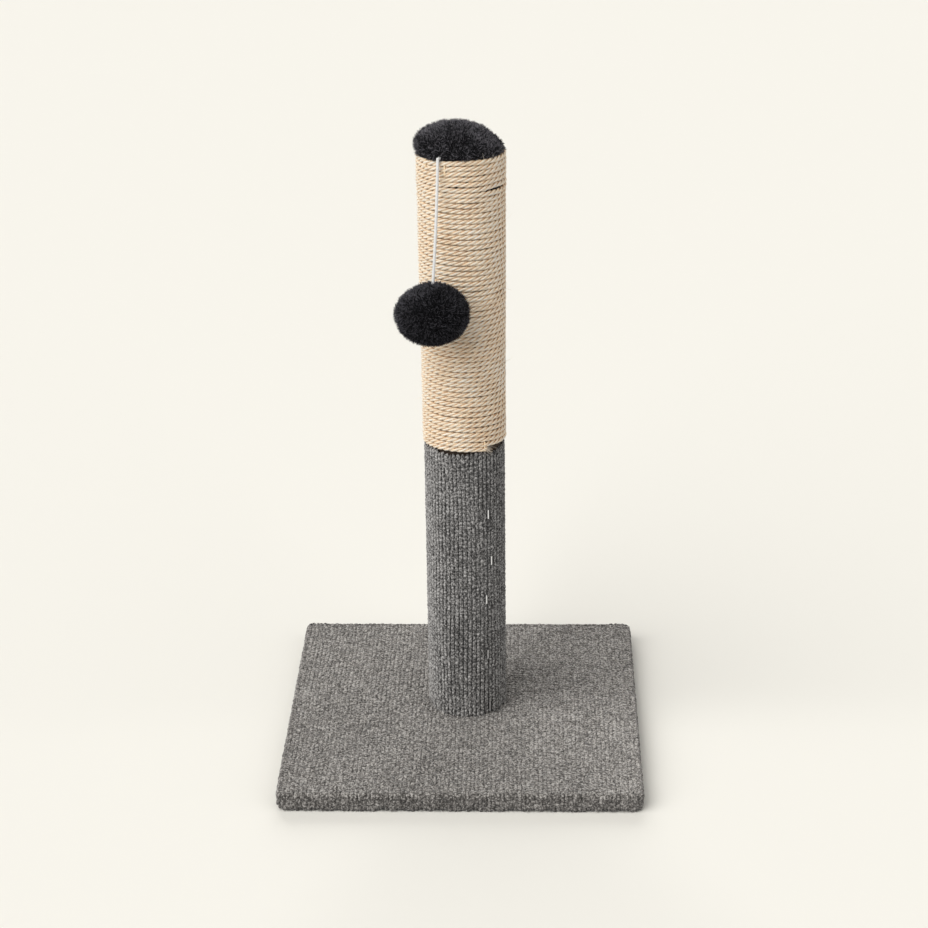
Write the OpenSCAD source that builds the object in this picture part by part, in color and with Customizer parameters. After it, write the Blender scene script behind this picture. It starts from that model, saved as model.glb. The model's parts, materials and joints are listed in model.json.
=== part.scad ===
// Cat scratching post: a carpeted square base, a round post wrapped in carpet
// below and sisal rope above, a padded plush top and a plush ball on a string.
// Lengths are millimetres and angles degrees. +Z is up and the floor is z = 0.
// The origin is the middle of the base's underside, and -Y is the front.
// Directions round the post are given as angles from the front, positive to the right.

/* [Base] */
// Side of the square base, over its carpet
base_w = 300; // [220:5:400]
// Thickness of the base board
board_t = 12.5; // [9:0.5:18]
// Corner radius of the board, seen from above
board_corner_r = 7; // [2:0.5:20]
// Thickness of the carpet on the base
base_carpet_t = 2; // [1.2:0.1:4]
// Rounding of the carpet over the top and bottom edges of the base
edge_r = 1.5; // [0.5:0.1:3]
// Width of the carpet that is turned under the board
hem_w = 26; // [18:1:40]

/* [Post] */
// Distance of the post to the right of the middle of the base
post_x = 3; // [-20:0.5:20]
// Distance of the post behind the middle of the base
post_y = 9.5; // [-20:0.5:20]
// Outside diameter of the post's cardboard tube
tube_d = 61; // [50:1:90]
// Wall of the cardboard tube
tube_wall = 4; // [3:0.5:6]
// Length of the cardboard tube
tube_len = 494; // [420:1:640]
// Thickness of the wooden plug in the foot of the tube
bottom_plug_t = 20; // [16:1:30]
// Thickness of the wooden plug in the head of the tube
top_plug_t = 15; // [12:1:30]

/* [Carpet sleeve] */
// Height of the carpet sleeve on the post
sleeve_h = 247.5; // [200:0.5:280]
// Thickness of the ribbed carpet of the sleeve
sleeve_t = 3.2; // [2:0.1:6]
// Direction of the sleeve's butt seam
seam_angle = 35; // [-180:1:180]
// Width of the gap at the seam
seam_gap = 0.6; // [0.3:0.1:2]

/* [Rope] */
// Diameter of the sisal rope
rope_d = 4.3; // [3.5:0.1:6]
// Rise of one turn of the rope
rope_pitch = 4.31; // [4:0.01:6.5]
// Turns that are wound in full, down from the top of the post
wound_turns = 24; // [8:1:24]
// Gap between the rope and the carpet sleeve below it
band_gap = 1; // [0.5:0.1:4]

/* [Top] */
// Height of the plush dome over the rope
dome_h = 21; // [14:0.5:32]
// Radius of the plush dome at its foot
dome_r = 35.2; // [33.5:0.1:36.5]
// Thickness of the plush
plush_t = 1; // [0.6:0.1:1.4]
// Thickness of the plush skirt, pressed flat under the rope
skirt_t = 0.7; // [0.5:0.1:0.9]
// Length of the plush skirt that the rope holds against the tube
skirt_len = 29; // [15:1:60]

/* [String] */
// Diameter of the string
string_d = 2.4; // [1.6:0.1:3]
// Length of the string from its exit to the top of the ball
string_len = 95.5; // [60:0.5:140]
// Direction of the string's exit from the plush
exit_angle = -26.5; // [-60:0.5:60]
// Sideways hang of the string at rest, positive to the right
side_hang = 3.5; // [-6:0.5:6]

/* [Ball] */
// Diameter of the plush ball
ball_w = 59; // [40:1:70]
// Height of the ball along the string
ball_h = 50; // [36:1:64]
// Thickness of the ball's plush cover
cover_t = 2; // [1:0.5:4]
// Diameter of the knot that holds the ball on the string
knot_d = 6; // [5:0.5:9]

/* [Staples] */
// Length of a staple's back
staple_w = 8; // [6:0.5:12]
// Length of a staple's legs
staple_leg = 6; // [4:0.5:8]
// Width of the staple wire
staple_wire_w = 1.1; // [0.7:0.1:1.4]
// Thickness of the staple wire
staple_wire_t = 0.6; // [0.4:0.1:0.9]
// Staples along each side of the base's hem
hem_staple_count = 5; // [3:1:8]

/* [Bolt] */
// Diameter of the bolt that holds the post to the base
bolt_d = 6; // [5:1:8]
// Diameter of the bolt's head
bolt_head_d = 13; // [11:0.5:15]
// Height of the bolt's head
bolt_head_h = 3; // [2:0.5:4]
// Diameter of the washer under the bolt's head
washer_d = 18; // [16:1:20]
// Thickness of the washer
washer_t = 1.2; // [0.8:0.1:1.6]

/* [Hidden] */
$fn = 96;

// Clearances: between fitted pieces, round the bolt, round the string, and between soft pieces
fit_gap = 0.1;
bolt_gap = 0.3;
string_gap = 0.3;
soft_gap = 0.3;
// A cut runs this far past the faces that it opens
cut = 1;

// Base
board_z = base_carpet_t;
board_top = board_z + board_t;
base_top = board_top + base_carpet_t;
board_w = base_w - 2 * base_carpet_t;
carpet_corner_r = board_corner_r + base_carpet_t;
hem_staple_inset = base_carpet_t + hem_w / 2;
hem_staple_z = staple_wire_t + soft_gap;
hem_window_w = base_w - 2 * (base_carpet_t + hem_w);

// Bolt, washer and tee nut
head_recess = 0.4;
counterbore_d = washer_d + 2;
counterbore_h = head_recess + bolt_head_h + washer_t;
head_z = board_z + head_recess;
washer_z = head_z + bolt_head_h;
hex_key = 0.4 * bolt_head_d;
hex_depth = 0.6 * bolt_head_h;
nut_wall = 1.2;
nut_barrel_h = 9;
nut_flange_w = 5;
nut_flange_r = bolt_d / 2 + nut_flange_w;
nut_flange_t = 1.2;
nut_thread_gap = 0.03;
prong_h = 5;
prong_w = 2;
plug_top = base_top + bottom_plug_t;
bolt_proud = 2;
bolt_end = plug_top + nut_flange_t + bolt_proud;

// Post
tube_r = tube_d / 2;
bore_r = tube_r - tube_wall;
tube_top = base_top + tube_len;
top_plug_z = tube_top - top_plug_t;
sleeve_z = base_top;
sleeve_top = sleeve_z + sleeve_h;
sleeve_r = tube_r + fit_gap + sleeve_t;
plug_staple_turn = 90;

// Height over the sleeve's foot, and direction, of each staple down the seam
seam_staple_places = [[7, 36], [58.5, 33.3], [111, 31.7], [146, 40.7], [189.5, 35.7]];
// Turns below the band's top, and direction, of each staple at the rope's upper end
rope_top_staples = [[1.09, -48], [1.76, -19]];
// Turns above the band's foot, and direction, of the staple at the rope's lower end
rope_foot_staple = [0.81, 30];

// Plush cap
skirt_r = tube_r + fit_gap + skirt_t;
skirt_z = tube_top - skirt_len;
dome_power = 1.9;
dome_steps = 12;
flange_z = tube_top + soft_gap;
inner_dome_z = flange_z + plush_t;
inner_dome_h = tube_top + dome_h - plush_t - inner_dome_z;
padding_z = inner_dome_z + soft_gap;
padding_r = dome_r - plush_t - soft_gap;
padding_h = inner_dome_h - 2 * soft_gap;
padding_inset = 1;
padding_foot_r = tube_r - padding_inset;

// Rope: the turns' middle line runs closer to the post below the plush skirt
rings = 24;
sides = 6;
rope_r = rope_d / 2;
rope_half_h = rope_r * cos(30);
chord = cos(180 / rings);
band_z = sleeve_top + band_gap;
under_rope_r = (tube_r + fit_gap + string_gap / 2) / chord + rope_r;
over_skirt_r = (skirt_r + string_gap / 2) / chord + rope_r;
rope_top = tube_top - rope_half_h;
rope_low = rope_top - wound_turns * rope_pitch;
rope_steps = wound_turns * rings;
climb_z = skirt_z - 1.5 * rope_pitch;
lower_turns_top = rope_low - rope_half_h - string_gap;
lower_turns_r = tube_r + rope_d;
band_r = over_skirt_r + rope_r;

// String and ball: the pivot is where the string leaves the plush and turns down
string_r = string_d / 2;
rope_clearance = 0.4;
pivot_r = band_r + rope_clearance + string_r;
tail_clearance = 0.2;
pivot_z = tube_top + tail_clearance + string_r;
tail_start = 9;
tail_end = dome_r + string_gap / 2;
root_start = tail_end + string_gap;
tail_staple_r = 12;
tail_staple_w = string_d + 2 * (staple_wire_t + fit_gap);
staple_room = 2;
padding_groove_h = pivot_z - tube_top + string_r + staple_wire_t + soft_gap;
ball_a = ball_w / 2;
ball_b = ball_h / 2;
core_a = ball_a - cover_t;
core_b = ball_b - cover_t;
ball_steps = 16;
ball_drop = string_len + ball_b;
knot_gap = 0.3;
knot_flat = 0.4;
knot_top = ball_drop - knot_flat * knot_d;
string_start = string_r + string_gap;
string_ring_step = 6;

// Lean that lays the ball against the lower turns, found by repeated substitution
function ball_reach(a) = sqrt(pow(ball_a * cos(a), 2) + pow(ball_b * sin(a), 2));
function settled_lean(a, n) = n == 0 ? a :
    settled_lean(asin((lower_turns_r + soft_gap + ball_reach(a) - pivot_r) / ball_drop), n - 1);
lean = settled_lean(12, 12);

// Shapes that several pieces share
module at_post(z = 0) translate([post_x, post_y, z]) children();
module facing(angle) rotate([0, 0, angle - 90]) children();
module at_pivot() at_post(pivot_z) facing(exit_angle) translate([pivot_r, 0, 0]) children();
module along_string() at_pivot()
    rotate([side_hang, 0, 0]) rotate([0, -lean, 0]) mirror([0, 0, 1]) children();

module tube(r_out, r_in, h) difference() {
    cylinder(r = r_out, h = h);
    translate([0, 0, -cut]) cylinder(r = r_in, h = h + 2 * cut);
}

module round_square(w, r) {
    square([w - 2 * r, w], center = true);
    square([w, w - 2 * r], center = true);
    for (x = [-1, 1], y = [-1, 1]) translate([x * (w / 2 - r), y * (w / 2 - r)]) circle(r, $fn = 48);
}

// A slab's side view, rounded at both ends of its height, drawn along the other axis
module round_slab(w, h, r) rotate([90, 0, 0]) linear_extrude(w + 2 * cut, center = true) {
    translate([-w / 2, r]) square([w, h - 2 * r]);
    translate([r - w / 2, 0]) square([w - 2 * r, h]);
    for (x = [-1, 1], z = [r, h - r]) translate([x * (w / 2 - r), z]) circle(r, $fn = 32);
}

// A staple with its back on z = 0 along X and its legs driven down
module staple(back, leg) {
    translate([-back / 2, -staple_wire_w / 2, 0]) cube([back, staple_wire_w, staple_wire_t]);
    for (x = [-back / 2, back / 2 - staple_wire_t])
        translate([x, -staple_wire_w / 2, -leg]) cube([staple_wire_t, staple_wire_w, leg + staple_wire_t]);
}

// A staple with its back upright on a round surface, driven towards the post's middle
module post_staple(z, angle, r) at_post(z) facing(angle) translate([r, 0, 0])
    rotate([0, 90, 0]) staple(staple_w, staple_leg);

module bolt_hole(r) at_post(-cut) cylinder(r = r, h = bolt_end + 2 * cut);

// Half of an ellipse from its top to its foot, as points for a turned solid
function half_ellipse(a, b, n) = [for (i = [0:n]) [a * sin(180 * i / n), b * cos(180 * i / n)]];
function dome_arc(r, h, z, n) = [
    for (i = [0:n]) let (t = sin(90 * i / n)) [r * pow(1 - pow(t, dome_power), 1 / dome_power), z + h * t]
];

// Closed tube through a list of rings, each a list of points, with flat ends
module ring_tube(list) {
    m = len(list[0]);
    end = (len(list) - 1) * m;
    polyhedron(
        points = [for (ring = list) each ring],
        faces = concat(
            [[for (j = [0:m - 1]) j]],
            [for (i = [0:m:end - m], j = [0:m - 1]) [i + j, i + m + j, i + m + (j + 1) % m]],
            [for (i = [0:m:end - m], j = [0:m - 1]) [i + j, i + m + (j + 1) % m, i + (j + 1) % m]],
            [[for (j = [m - 1:-1:0]) end + j]]
        )
    );
}

// Base
module base_board() color("burlywood") difference() {
    translate([0, 0, board_z]) linear_extrude(board_t) round_square(board_w, board_corner_r);
    bolt_hole(bolt_d / 2 + bolt_gap);
    at_post(board_z - cut) cylinder(d = counterbore_d, h = counterbore_h + cut);
}

module base_carpet() color("gray") difference() {
    intersection() {
        linear_extrude(base_top) round_square(base_w, carpet_corner_r);
        round_slab(base_w, base_top, edge_r);
        rotate([0, 0, 90]) round_slab(base_w, base_top, edge_r);
    }
    translate([0, 0, board_z]) linear_extrude(board_t) round_square(board_w, board_corner_r);
    translate([0, 0, -cut]) linear_extrude(board_z + 2 * cut) square(hem_window_w, center = true);
    bolt_hole(bolt_d / 2 + bolt_gap);
}

module hem_staples() color("silver") for (side = [0:3], i = [1:hem_staple_count])
    rotate([0, 0, 90 * side])
        translate([board_w * (i / (hem_staple_count + 1) - 0.5), hem_staple_inset - base_w / 2, hem_staple_z])
            mirror([0, 0, 1]) staple(staple_w, staple_leg);

// Fastening of the post
module mounting_bolt() color("lightgray") at_post() difference() {
    union() {
        translate([0, 0, head_z]) cylinder(d = bolt_head_d, h = bolt_head_h);
        translate([0, 0, head_z]) cylinder(d = bolt_d, h = bolt_end - head_z);
    }
    translate([0, 0, head_z - cut]) cylinder(d = hex_key, h = hex_depth + cut, $fn = 6);
}

module bolt_washer() color("silver") at_post(washer_z) tube(washer_d / 2, bolt_d / 2 + bolt_gap, washer_t);

// The tee nut's three prongs, or the slots that they cut in the plug
module nut_prongs() for (a = [0:120:240]) rotate([0, 0, a])
    translate([nut_flange_r - nut_wall, -prong_w / 2, plug_top - prong_h])
        cube([nut_wall / 2, prong_w, prong_h]);

module tee_nut() color("darkgray") at_post() difference() {
    union() {
        translate([0, 0, plug_top]) cylinder(r = nut_flange_r, h = nut_flange_t);
        translate([0, 0, plug_top - nut_barrel_h])
            cylinder(r = bolt_d / 2 + nut_wall, h = nut_barrel_h + nut_flange_t);
        nut_prongs();
    }
    translate([0, 0, plug_top - nut_barrel_h - cut])
        cylinder(r = bolt_d / 2 + nut_thread_gap, h = nut_barrel_h + nut_flange_t + 2 * cut);
}

module bottom_plug() color("tan") at_post() difference() {
    translate([0, 0, base_top]) cylinder(r = bore_r - fit_gap, h = bottom_plug_t);
    translate([0, 0, base_top - cut]) cylinder(r = bolt_d / 2 + bolt_gap, h = bottom_plug_t + 2 * cut);
    translate([0, 0, plug_top - nut_barrel_h]) cylinder(r = bolt_d / 2 + nut_wall, h = nut_barrel_h + cut);
    nut_prongs();
}

// Post
module post_tube() color("peru") at_post(base_top) tube(tube_r, bore_r, tube_len);

module top_plug() color("tan") at_post(top_plug_z) cylinder(r = bore_r - fit_gap, h = top_plug_t);

module plug_staples() color("silver")
    for (z = [base_top + bottom_plug_t / 2, top_plug_z + top_plug_t / 2], a = [45:plug_staple_turn:315])
        post_staple(z, a, tube_r - staple_wire_t - fit_gap / 2);

module carpet_sleeve() color("dimgray") at_post(sleeve_z) difference() {
    tube(sleeve_r, tube_r + fit_gap, sleeve_h);
    facing(seam_angle) translate([0, -seam_gap / 2, -cut])
        cube([sleeve_r + cut, seam_gap, sleeve_h + 2 * cut]);
}

module seam_staples() color("silver")
    for (s = seam_staple_places) post_staple(sleeve_z + s[0], s[1], sleeve_r - staple_wire_t / 2);

// Rope: a left-handed helix from the lower end of the full turns to the top of the post
function smooth(t) = let (u = min(1, max(0, t))) u * u * (3 - 2 * u);
function wind_z(i) = rope_low + i * rope_pitch / rings;
function wind_r(i) = let (part = smooth((wind_z(i) - climb_z) / rope_pitch))
    under_rope_r + (over_skirt_r - under_rope_r) * part;
function wind_ring(i, ahead) = let (a = -360 * i / rings) [
    for (j = [0:sides - 1]) let (b = 360 * j / sides, r = wind_r(i) + rope_r * cos(b)) [
        r * cos(a) + ahead * sin(a), r * sin(a) - ahead * cos(a), wind_z(i) + rope_r * sin(b)
    ]
];
rope_rings = [
    wind_ring(0, -rope_d),
    for (i = [0:rope_steps]) wind_ring(i, 0),
    wind_ring(rope_steps, rope_d)
];
// Least distance between the points of one turn and those of the next
rope_least_gap = min([
    for (i = [1:rope_steps - rings], k = [-1:1], p = rope_rings[i], q = rope_rings[i + rings + k]) norm(p - q)
]);
echo(rope_least_gap = rope_least_gap);

module sisal_rope() color("wheat") at_post() facing(seam_angle) ring_tube(rope_rings);

module sisal_lower_turns() color("wheat") at_post(band_z)
    tube(lower_turns_r, tube_r + fit_gap, lower_turns_top - band_z);

module rope_staples() color("silver") {
    for (s = rope_top_staples) post_staple(tube_top - s[0] * rope_pitch, s[1], band_r - staple_wire_t / 2);
    post_staple(band_z + rope_foot_staple[0] * rope_pitch, rope_foot_staple[1],
        lower_turns_r - staple_wire_t / 2);
}

// Padded top
module top_padding() color("lightyellow") at_post() difference() {
    rotate_extrude() polygon(concat(
        [[0, tube_top], [padding_foot_r, tube_top], [padding_foot_r, padding_z]],
        dome_arc(padding_r, padding_h, padding_z, dome_steps)
    ));
    facing(exit_angle) translate([tail_start - staple_room, -string_r - staple_room, tube_top - cut])
        cube([dome_r, string_d + 2 * staple_room, padding_groove_h + cut]);
}

module plush_cap() color("black") at_post() rotate_extrude() polygon(concat(
    [[skirt_r, flange_z], [skirt_r, skirt_z], [tube_r + fit_gap, skirt_z], [tube_r + fit_gap, inner_dome_z]],
    dome_arc(dome_r - plush_t, inner_dome_h, inner_dome_z, dome_steps),
    [for (i = [dome_steps:-1:0]) dome_arc(dome_r, dome_h - plush_t, tube_top + plush_t, dome_steps)[i]],
    [[dome_r - soft_gap, flange_z]]
));

// String: the held end, then the short root that it swings from, then the hanging run
module string_tail() color("white") at_post(pivot_z) facing(exit_angle)
    translate([tail_start, 0, 0]) rotate([0, 90, 0]) cylinder(r = string_r, h = tail_end - tail_start);

module string_staple() color("silver") at_post(pivot_z + string_r) facing(exit_angle)
    translate([tail_staple_r, 0, 0]) rotate([0, 0, 90]) staple(tail_staple_w, string_d + staple_leg);

module string_root() color("white") at_pivot() {
    translate([root_start - pivot_r, 0, 0]) rotate([0, 90, 0])
        cylinder(r = string_r, h = pivot_r - root_start);
    sphere(r = string_r);
}

string_route = [for (s = [string_start:string_ring_step:knot_top - string_ring_step / 2]) s, knot_top];
module string() color("white") along_string() ring_tube([
    for (s = string_route) [for (j = [0:7]) [string_r * cos(45 * j), -string_r * sin(45 * j), s]]
]);

module string_knot() color("white") along_string() intersection() {
    translate([0, 0, knot_top + knot_flat * knot_d]) sphere(d = knot_d);
    translate([0, 0, knot_top + knot_d / 2]) cube(knot_d, center = true);
}

// Ball: both solids are turned about the string
module ball_shape(a, b) translate([0, 0, ball_drop]) rotate_extrude() polygon(half_ellipse(a, b, ball_steps));

module ball_core() color("ivory") along_string() difference() {
    ball_shape(core_a - fit_gap, core_b - fit_gap);
    translate([0, 0, string_len - cut]) cylinder(r = string_r + string_gap, h = knot_top - string_len + cut);
    translate([0, 0, knot_top - knot_gap]) cylinder(d = knot_d + 2 * knot_gap, h = knot_d + 2 * knot_gap);
}

module ball_cover() color("black") along_string() difference() {
    ball_shape(ball_a, ball_b);
    ball_shape(core_a, core_b);
    translate([0, 0, string_len - cut]) cylinder(r = string_r + string_gap, h = cover_t + 2 * cut);
}

// Places and directions of the joints, for the record
function turned(v) = [
    sin(exit_angle) * v[0] + cos(exit_angle) * v[1], sin(exit_angle) * v[1] - cos(exit_angle) * v[0], v[2]
];
echo(pivot = [post_x, post_y, pivot_z] + turned([pivot_r, 0, 0]));
echo(side_swing_axis = turned([1, 0, 0]));
echo(out_swing_axis = turned([0, -cos(side_hang), -sin(side_hang)]));
echo(spin_axis = turned([sin(lean), sin(side_hang) * cos(lean), -cos(side_hang) * cos(lean)]));
echo(lean = lean, ball_centre_drop = ball_drop);

base_board();
base_carpet();
hem_staples();
mounting_bolt();
bolt_washer();
tee_nut();
bottom_plug();
top_plug();
plug_staples();
post_tube();
carpet_sleeve();
seam_staples();
sisal_rope();
sisal_lower_turns();
rope_staples();
top_padding();
plush_cap();
string_tail();
string_staple();
string_root();
string();
string_knot();
ball_core();
ball_cover();
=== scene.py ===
import json
import math
import random

import bpy
from mathutils import Matrix, Vector, noise
from mathutils.bvhtree import BVHTree


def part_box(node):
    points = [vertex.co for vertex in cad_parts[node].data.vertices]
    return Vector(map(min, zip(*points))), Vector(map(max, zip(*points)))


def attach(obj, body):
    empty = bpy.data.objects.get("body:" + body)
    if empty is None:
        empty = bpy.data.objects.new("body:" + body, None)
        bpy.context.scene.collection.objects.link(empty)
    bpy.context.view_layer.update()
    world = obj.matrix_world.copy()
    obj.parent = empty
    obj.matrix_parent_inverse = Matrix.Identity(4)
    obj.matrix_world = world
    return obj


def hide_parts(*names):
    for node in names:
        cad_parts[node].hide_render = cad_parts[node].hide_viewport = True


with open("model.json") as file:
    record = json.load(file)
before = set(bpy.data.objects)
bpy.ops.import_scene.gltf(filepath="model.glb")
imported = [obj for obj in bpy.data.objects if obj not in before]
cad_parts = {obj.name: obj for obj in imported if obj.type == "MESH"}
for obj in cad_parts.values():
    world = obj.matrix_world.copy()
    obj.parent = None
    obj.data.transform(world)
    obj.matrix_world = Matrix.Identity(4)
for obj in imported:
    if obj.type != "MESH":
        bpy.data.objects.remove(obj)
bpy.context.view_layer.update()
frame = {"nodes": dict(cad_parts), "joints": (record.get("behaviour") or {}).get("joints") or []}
nodes = frame["nodes"]
mm = 0.001
print("frame loaded:", len(nodes), "CAD nodes")


# Node trees written as Python expressions
class Wire:  # one output of a node
    def __init__(self, graph, socket):
        self.graph = graph
        self.socket = socket

    def other(self, name):  # another output of the same node
        return Wire(self.graph, pickSocket(self.socket.node.outputs, name))

    def __add__(self, value):
        return self.graph.math("ADD", self, value)

    def __radd__(self, value):
        return self.graph.math("ADD", value, self)

    def __sub__(self, value):
        return self.graph.math("SUBTRACT", self, value)

    def __rsub__(self, value):
        return self.graph.math("SUBTRACT", value, self)

    def __mul__(self, value):
        return self.graph.math("MULTIPLY", self, value)

    def __rmul__(self, value):
        return self.graph.math("MULTIPLY", value, self)

    def __truediv__(self, value):
        return self.graph.math("DIVIDE", self, value)

    def __rtruediv__(self, value):
        return self.graph.math("DIVIDE", value, self)

    def __pow__(self, value):
        return self.graph.math("POWER", self, value)

    def __rpow__(self, value):
        return self.graph.math("POWER", value, self)


class Graph:  # a material's tree or a geometry tree
    def __init__(self, tree):
        self.tree = tree

    def node(self, kind, inputs=None, output=0, **settings):  # its settings are set before its sockets
        made = self.tree.nodes.new(kind)
        for name, value in settings.items():
            if name == "stops":
                fillRamp(made.color_ramp, value)
            else:
                setattr(made, name, value)
        for place, value in (inputs or {}).items():
            socket = pickSocket(made.inputs, place)
            if isinstance(value, Wire):
                self.tree.links.new(value.socket, socket)
            else:
                socket.default_value = value
        return Wire(self, pickSocket(made.outputs, output)) if made.outputs else None

    def math(self, operation, *values):
        return self.node("ShaderNodeMath", dict(enumerate(values)), operation=operation)

    def vector(self, operation, *values, output=0):
        return self.node("ShaderNodeVectorMath", dict(enumerate(values)), output, operation=operation)

    def scaled(self, value, factor):
        return self.node("ShaderNodeVectorMath", {"Vector": value, "Scale": factor}, operation="SCALE")

    def combined(self, x=0.0, y=0.0, z=0.0):
        return self.node("ShaderNodeCombineXYZ", {"X": x, "Y": y, "Z": z})

    def noise(self, place, scale, detail=2.0, roughness=0.5, output=0):
        inputs = {"Vector": place, "Scale": scale, "Detail": detail, "Roughness": roughness}
        return self.node("ShaderNodeTexNoise", inputs, output)

    # For materials
    def attribute(self, name, output="Fac"):
        return self.node("ShaderNodeAttribute", output=output, attribute_name=name)

    def mix(self, factor, first, second):
        inputs = {"Factor": factor, "A": opaque(first), "B": opaque(second)}
        return self.node("ShaderNodeMix", inputs, data_type="RGBA")

    def ramp(self, factor, stops):
        return self.node("ShaderNodeValToRGB", {0: factor}, stops=stops)

    def softStep(self, value, low, high, first=0.0, last=1.0):
        inputs = {"Value": value, "From Min": low, "From Max": high, "To Min": first, "To Max": last}
        return self.node("ShaderNodeMapRange", inputs, interpolation_type="SMOOTHSTEP")

    def bump(self, height, strength, distance):
        return self.node("ShaderNodeBump", {"Height": height, "Strength": strength, "Distance": distance})

    # For geometry
    def stored(self, name, kind="FLOAT"):
        return self.node("GeometryNodeInputNamedAttribute", {"Name": name}, data_type=kind)

    def store(self, geometry, name, value, kind="FLOAT", domain="POINT"):
        inputs = {"Geometry": geometry, "Name": name, "Value": value}
        return self.node("GeometryNodeStoreNamedAttribute", inputs, data_type=kind, domain=domain)

    def spread(self, low, high, seed):  # a random number for each place
        inputs = {"Min": low, "Max": high, "Seed": seed}
        return self.node("FunctionNodeRandomValue", inputs, data_type="FLOAT")

    def ring(self, sides, radius):
        return self.node("GeometryNodeCurvePrimitiveCircle", {"Resolution": sides, "Radius": radius})

    def arc(self, count, start, startHandle, endHandle, end):
        inputs = {"Resolution": count, "Start": start, "Start Handle": startHandle, "End Handle": endHandle,
                  "End": end}
        return self.node("GeometryNodeCurvePrimitiveBezierSegment", inputs, mode="POSITION")

    def sweep(self, line, ring, girth):
        inputs = {"Curve": line, "Profile Curve": ring, "Scale": girth, "Fill Caps": True}
        return self.node("GeometryNodeCurveToMesh", inputs)

    def facing(self, up, aside):  # the turn that points Z up and X aside
        inputs = {"Primary Axis": up, "Secondary Axis": aside}
        return self.node("FunctionNodeAxesToRotation", inputs, primary_axis="Z", secondary_axis="X")

    def turned(self, rotation, angles):  # turned further about its own axes
        inputs = {"Rotation": rotation, "Rotate By": self.node("FunctionNodeEulerToRotation", {0: angles})}
        return self.node("FunctionNodeRotateRotation", inputs, rotation_space="LOCAL")

    def strew(self, points, shape, rotation, size):
        inputs = {"Points": points, "Instance": shape, "Rotation": rotation, "Scale": size}
        return self.node("GeometryNodeInstanceOnPoints", inputs)


def pickSocket(sockets, place):
    live = [socket for socket in sockets if socket.enabled]
    if isinstance(place, int):
        return live[place]
    return next(socket for socket in live if socket.name == place)


def fillRamp(ramp, stops):
    while len(ramp.elements) < len(stops):
        ramp.elements.new(1.0)
    for element, (place, colour) in zip(ramp.elements, stops):
        element.position = place
        element.color = opaque(colour)


def opaque(colour):
    return colour if isinstance(colour, Wire) else (*colour, 1.0)


def addObject(name, data):
    made = bpy.data.objects.new(name, data)
    bpy.context.scene.collection.objects.link(made)
    return made


# Camera: the photograph's, found from the corners of the base and the sides of the post
cameraView = {
    "aim": Vector((2.7, 0.0, 243.7)) * mm,
    "distance": 1903.5 * mm,
    "pitch": math.radians(23.78),
    "yaw": math.radians(1.82),
    "roll": math.radians(0.75),
    "lens": 88.99,
    "sensor": 36.0,
}


def makeCamera(view):
    data = bpy.data.cameras.new("camera")
    data.lens = view["lens"]
    data.sensor_width = view["sensor"]
    camera = addObject("camera", data)
    level = math.cos(view["pitch"])
    back = Vector((math.sin(view["yaw"]) * level, -math.cos(view["yaw"]) * level, math.sin(view["pitch"])))
    right = Vector((0, 0, 1)).cross(back).normalized()
    down = right.cross(back)
    turnedRight = right * math.cos(view["roll"]) + down * math.sin(view["roll"])
    turnedDown = down * math.cos(view["roll"]) - right * math.sin(view["roll"])
    axes = Matrix((turnedRight, -turnedDown, back)).transposed().to_4x4()
    camera.matrix_world = Matrix.Translation(view["aim"] + back * view["distance"]) @ axes
    bpy.context.scene.camera = camera


makeCamera(cameraView)
print("camera placed")


# Meshes
def makeMesh(name, points, faces, edges=()):
    mesh = bpy.data.meshes.new(name)
    mesh.from_pydata([tuple(point) for point in points], list(edges), faces)
    mesh.shade_smooth()
    return mesh


def setAttribute(mesh, name, values):
    if isinstance(values[0], Vector):
        layer = mesh.attributes.new(name, "FLOAT_VECTOR", "POINT")
        layer.data.foreach_set("vector", [part for value in values for part in value])
    else:
        layer = mesh.attributes.new(name, "FLOAT", "POINT")
        layer.data.foreach_set("value", values)


def lineMesh(name, lines, *labels):  # a line's stops each hold a point, then its value for each label
    stops, edges = [], []
    for line in lines:
        edges += [(len(stops) + i, len(stops) + i + 1) for i in range(len(line) - 1)]
        stops += line
    mesh = makeMesh(name, [stop[0] for stop in stops], [], edges)
    for number, label in enumerate(labels):
        setAttribute(mesh, label, [stop[number + 1] for stop in stops])
    return mesh


def turnedShell(name, profile, turns, at):  # at(radius, angle, height) gives the point; radius 0 is a pole
    points, rings, sizes, faces = [], [], [], []
    for radius, height in profile:
        rings.append(len(points))
        sizes.append(1 if radius == 0 else turns)
        points += [at(radius, 360 * j / turns, height) for j in range(sizes[-1])]
    for i in range(len(profile)):
        k = (i + 1) % len(profile)
        a, b = rings[i], rings[k]
        for j in range(turns):
            n = (j + 1) % turns
            if sizes[i] == 1 and sizes[k] == 1:
                continue
            if sizes[k] == 1:
                faces.append((a + j, a + n, b))
            elif sizes[i] == 1:
                faces.append((a, b + n, b + j))
            else:
                faces.append((a + j, a + n, b + n, b + j))
    return makeMesh(name, points, faces)


def geometryTree(name, numbers):  # a tree with named inputs, and its inputs by name
    tree = bpy.data.node_groups.new(name, "GeometryNodeTree")
    tree.interface.new_socket("Geometry", in_out="INPUT", socket_type="NodeSocketGeometry")
    for label, value in numbers.items():
        kind = "NodeSocketInt" if isinstance(value, int) else "NodeSocketFloat"
        tree.interface.new_socket(label, in_out="INPUT", socket_type=kind).default_value = value
    tree.interface.new_socket("Finish", in_out="INPUT", socket_type="NodeSocketMaterial")
    tree.interface.new_socket("Geometry", in_out="OUTPUT", socket_type="NodeSocketGeometry")
    graph = Graph(tree)
    source = graph.node("NodeGroupInput")
    return graph, {label: source.other(label) for label in ("Geometry", *numbers, "Finish")}


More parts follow.
